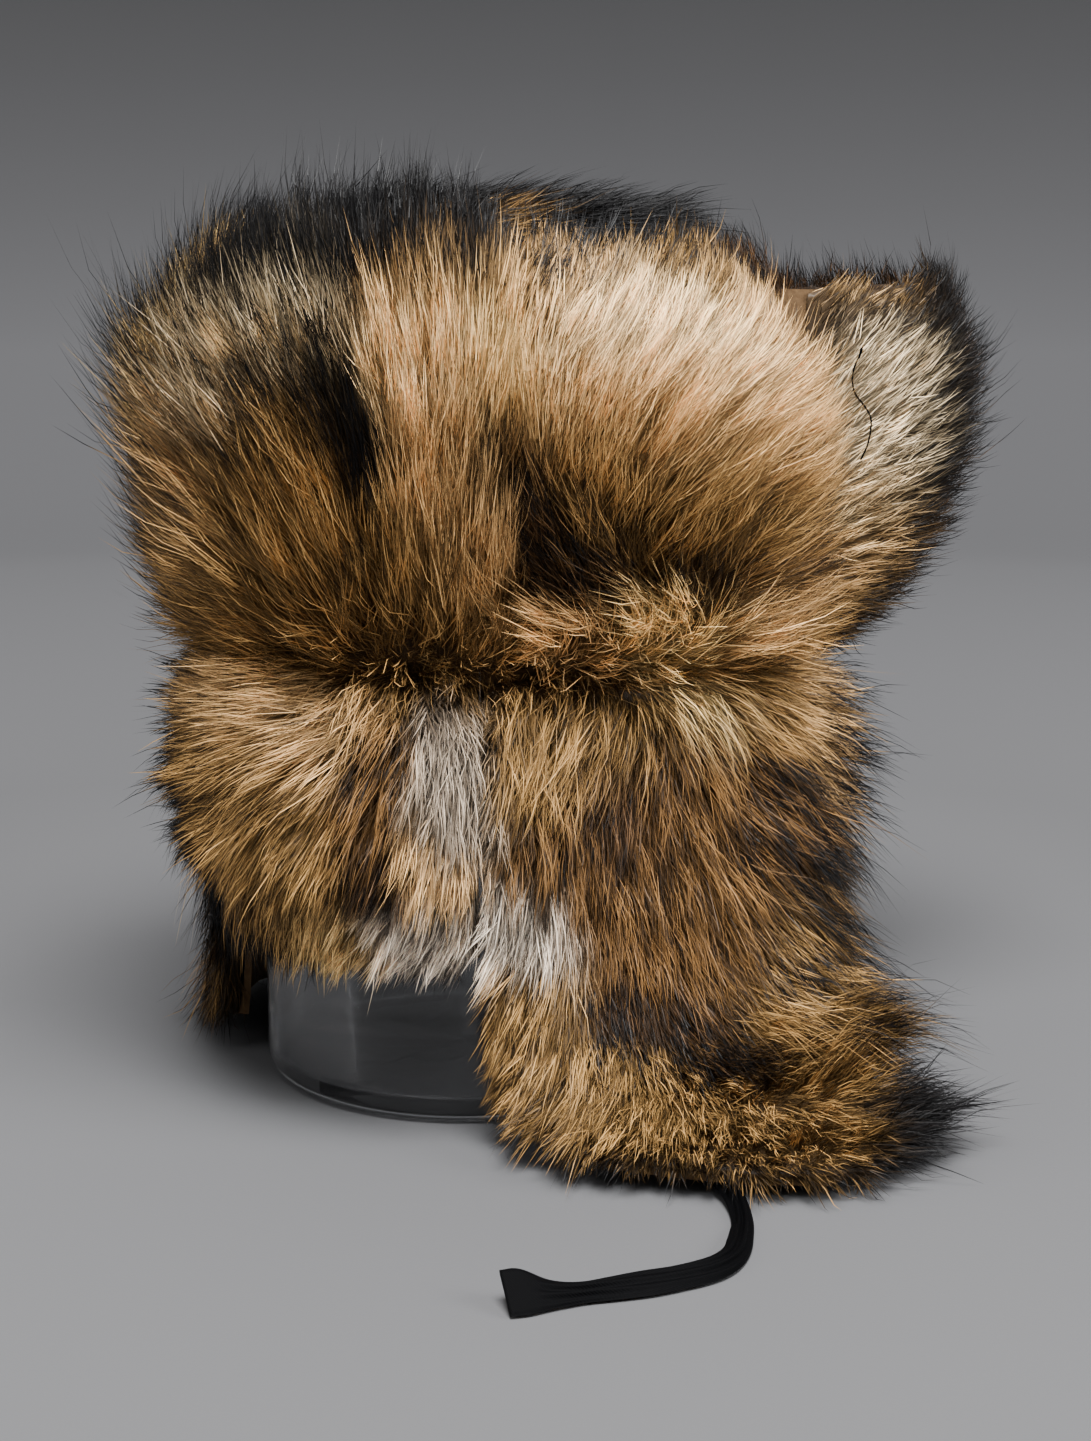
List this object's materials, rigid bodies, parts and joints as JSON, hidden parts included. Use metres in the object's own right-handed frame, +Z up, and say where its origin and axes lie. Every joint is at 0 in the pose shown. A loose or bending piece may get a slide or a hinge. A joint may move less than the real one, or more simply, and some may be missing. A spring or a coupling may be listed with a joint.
{
  "type": "ushanka on a clear display stand",
  "caption": "Fur cap with upturned visor, nape flap and lowered ear flaps, one with a ribbon tie, held up from inside by a clear round cup-shaped stand.",
  "frame": {"origin": "middle of the stand's flat base, on the surface that it stands on", "axes": "+Z up, -Y towards the visor, -X towards the wearer's right ear flap"},
  "size_m": [0.3358, 0.3368, 0.3174],
  "materials": {
    "acrylic": "clear polished acrylic",
    "hide": "soft undyed suede side of a pelt",
    "fur": "long banded fur, dark roots, tan middles and black tips",
    "ribbon": "matt black cotton ribbon"
  },
  "bodies": {
    "root": {"stand": "acrylic", "crown_shell": "hide", "visor_hide": "hide", "nape_hide": "hide", "ear_hide_right": "hide", "ear_hide_left": "hide", "crown_fur_back": "fur", "crown_fur_right": "fur", "crown_fur_left": "fur", "crown_fur_front": "fur", "crown_fur_top": "fur", "visor_fur": "fur", "nape_fur": "fur", "ear_fur_right": "fur", "ear_fur_left": "fur", "tie_right": "ribbon"}
  },
  "joints": []
}
